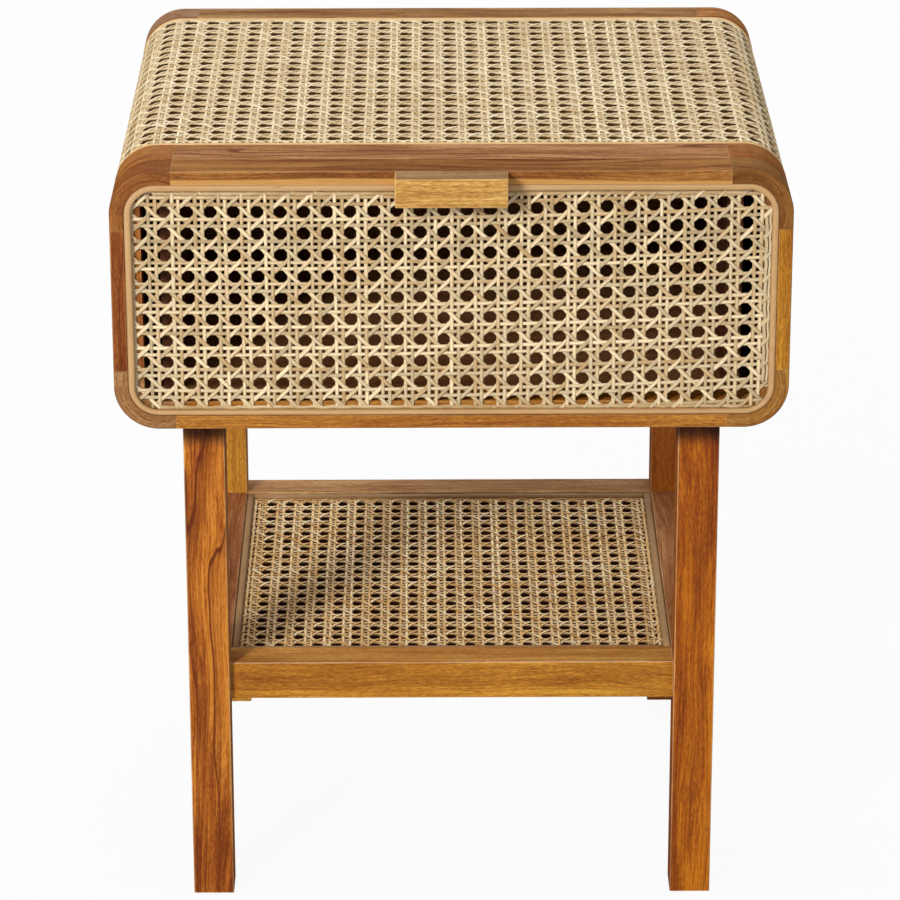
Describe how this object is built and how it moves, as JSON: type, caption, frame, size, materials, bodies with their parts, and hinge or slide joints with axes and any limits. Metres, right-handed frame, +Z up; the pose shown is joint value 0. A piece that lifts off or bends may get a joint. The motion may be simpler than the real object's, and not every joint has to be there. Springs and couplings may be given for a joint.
{
  "type": "bedside table",
  "caption": "Bedside table: rounded teak case wrapped in woven cane with one cane-fronted sliding drawer, on square legs with a low cane shelf.",
  "frame": {"origin": "on the floor, at the middle of the footprint's box, handle included", "axes": "+Z up, -Y towards the front (the drawer opens along -Y), +X to the right seen from the front"},
  "size_m": [0.45, 0.424, 0.54],
  "materials": {
    "teak": "oiled teak, satin",
    "leg_teak": "oiled teak, satin",
    "handle_teak": "pale oiled teak, satin",
    "plywood": "plain veneered board",
    "drawer_wood": "plain sawn wood",
    "dark_board": "board stained black",
    "cane": "natural woven cane",
    "rattan": "natural rattan core",
    "steel": "zinc-plated screws"
  },
  "bodies": {
    "case": {"back_left_leg": "leg_teak", "back_panel": "plywood", "back_right_leg": "leg_teak", "bottom_board": "plywood", "bottom_left_corner_rail": "plywood", "bottom_right_corner_rail": "plywood", "cane_splines": "rattan", "case_back_bottom_left_corner": "teak", "case_back_bottom_rail": "teak", "case_back_bottom_right_corner": "teak", "case_back_left_stile": "teak", "case_back_right_stile": "teak", "case_back_top_left_corner": "teak", "case_back_top_rail": "teak", "case_back_top_right_corner": "teak", "case_cane": "cane", "case_front_bottom_left_corner": "teak", "case_front_bottom_rail": "teak", "case_front_bottom_right_corner": "teak", "case_front_left_stile": "teak", "case_front_right_stile": "teak", "case_front_top_left_corner": "teak", "case_front_top_rail": "teak", "case_front_top_right_corner": "teak", "drawer_stop": "drawer_wood", "front_left_leg": "leg_teak", "front_right_leg": "leg_teak", "left_side_board": "plywood", "leg_screws": "steel", "right_side_board": "plywood", "shelf_back_rail": "teak", "shelf_beads": "rattan", "shelf_board": "dark_board", "shelf_cane": "cane", "shelf_dowels": "drawer_wood", "shelf_front_rail": "teak", "shelf_left_rail": "teak", "shelf_right_rail": "teak", "top_board": "plywood", "top_left_corner_rail": "plywood", "top_right_corner_rail": "plywood"},
    "drawer": {"drawer_back": "drawer_wood", "drawer_bead": "rattan", "drawer_bottom": "drawer_wood", "drawer_cane": "cane", "drawer_front_bottom_left_corner": "teak", "drawer_front_bottom_rail": "teak", "drawer_front_bottom_right_corner": "teak", "drawer_front_left_stile": "teak", "drawer_front_right_stile": "teak", "drawer_front_top_left_corner": "teak", "drawer_front_top_rail": "teak", "drawer_front_top_right_corner": "teak", "drawer_left_side": "drawer_wood", "drawer_right_side": "drawer_wood", "handle": "handle_teak", "handle_screws": "steel"}
  },
  "joints": [
    {"name": "drawer_slide", "type": "slide", "parent": "case", "child": "drawer", "axis": [0, -1, 0], "range_m": [0, 0.278]}
  ]
}
